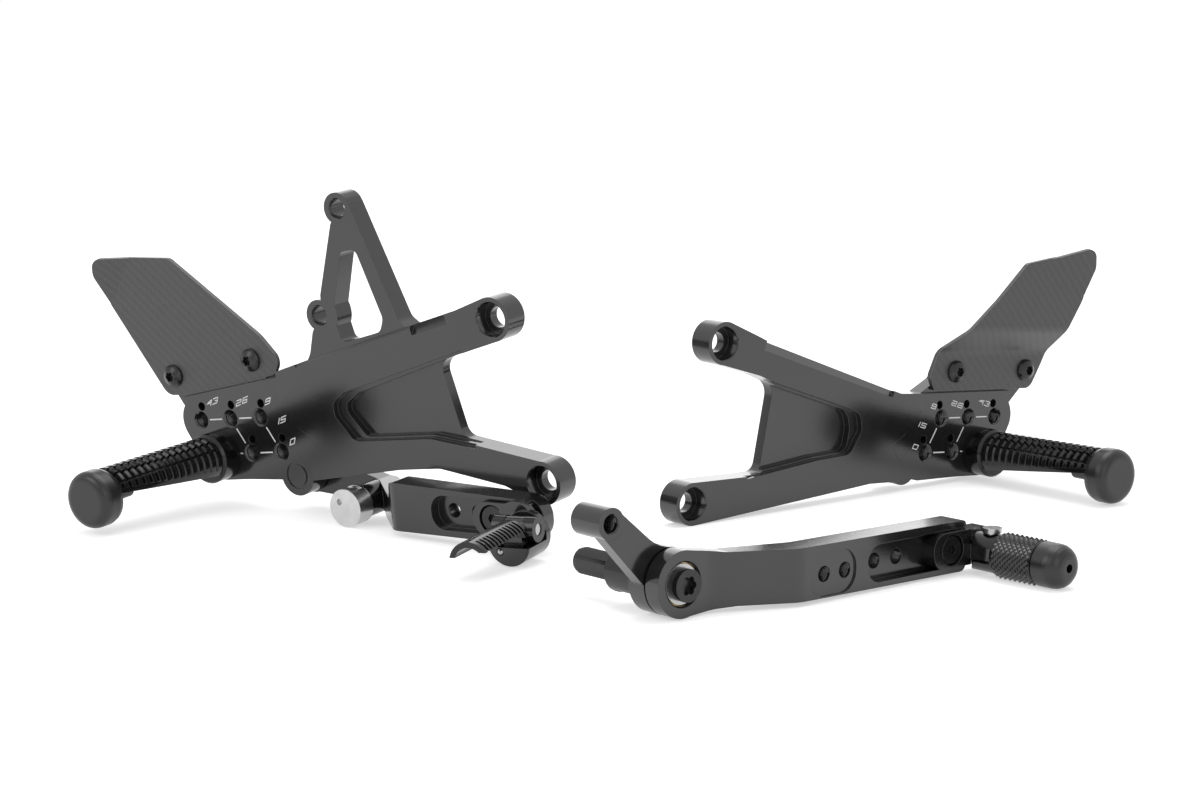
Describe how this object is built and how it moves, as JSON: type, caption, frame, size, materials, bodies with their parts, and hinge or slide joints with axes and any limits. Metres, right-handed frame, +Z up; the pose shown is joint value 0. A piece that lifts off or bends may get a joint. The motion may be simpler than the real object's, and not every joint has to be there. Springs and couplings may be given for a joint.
{
  "type": "rear sets footrest",
  "caption": "Motorbike rearset kit: brake side and shift side plates with footpegs, heel guards and folding toe levers, the shift lever loose in front.",
  "frame": {"origin": "centre of the whole set's bounding box in plan, on the table the set lies on", "axes": "+X across the set from brake side to shift side, +Y away from the viewer of the picture, +Z up"},
  "size_m": [0.477, 0.3404, 0.147],
  "materials": {
    "black_anodised": "satin black anodised, fine milled lines",
    "carbon": "matt lacquered fine twill carbon sheet",
    "black_steel": "blackened steel fasteners",
    "bright_alloy": "bright turned alloy",
    "bright_steel": "bright ground steel",
    "bronze": "plain sintered bronze"
  },
  "bodies": {
    "frame_side": {"brake_side_plate": "black_anodised", "brake_heel_guard": "carbon", "brake_footpeg": "black_anodised", "brake_peg_cap": "black_anodised", "shift_side_plate": "black_anodised", "shift_heel_guard": "carbon", "shift_footpeg": "black_anodised", "shift_peg_cap": "black_anodised", "heel_guard_bolts": "black_steel", "footpeg_bolts": "black_steel", "footpeg_washers": "bright_steel", "footpeg_index_pins": "black_steel", "brake_pivot_bolt": "black_steel", "brake_pivot_spacer": "bright_steel", "shift_pivot_spindle": "black_anodised", "shift_pivot_bolt": "black_steel", "shift_pivot_washer": "bright_steel"},
    "brake_arm": {"brake_lever": "black_anodised", "brake_pivot_bush": "bronze", "brake_toe_block": "black_anodised", "brake_toe_bolt": "black_steel", "brake_toe_pin": "bright_steel", "brake_detent_ball": "bright_steel", "brake_detent_plug": "bright_steel", "brake_stop_screw": "black_steel"},
    "push_rod_swivel": {"brake_trunnion": "bright_alloy", "brake_trunnion_clip": "bright_steel"},
    "toe_blade": {"brake_toe_blade": "black_anodised"},
    "shift_arm": {"shift_lever": "black_anodised", "shift_rod_arm": "black_anodised", "shift_arm_dowels": "bright_steel", "shift_pivot_bush": "bronze", "shift_toe_block": "black_anodised", "shift_toe_bolt": "black_steel", "shift_toe_pin": "bright_steel"},
    "toe_peg": {"shift_toe_peg": "black_anodised", "shift_toe_cap": "black_anodised"}
  },
  "joints": [
    {"name": "brake_pedal", "type": "hinge", "parent": "frame_side", "child": "brake_arm", "pos_m": [-0.1314, 0.06121, 0.01873], "axis": [-0.5612, -0.8227, -0.0906], "range_deg": [0, 6]},
    {"name": "push_rod_turn", "type": "hinge", "parent": "brake_arm", "child": "push_rod_swivel", "pos_m": [-0.11302, 0.02177, 0.00914], "axis": [0.5612, 0.8227, 0.0906], "range_deg": [-30, 30]},
    {"name": "toe_blade_fold", "type": "hinge", "parent": "brake_arm", "child": "toe_blade", "pos_m": [-0.03838, -0.05336, 0.01466], "axis": [-0.8819, 0.4691, -0.0465], "range_deg": [0, 75]},
    {"name": "shift_stroke", "type": "hinge", "parent": "frame_side", "child": "shift_arm", "pos_m": [0.0227, -0.14767, 0.0134], "axis": [0.6561, -0.7547, 0], "range_deg": [0, 15]},
    {"name": "toe_peg_fold", "type": "hinge", "parent": "shift_arm", "child": "toe_peg", "pos_m": [0.1529, -0.0749, 0.0091], "axis": [0, 0, -1], "range_deg": [0, 60], "stiffness_Nm_per_rad": 0.08}
  ]
}
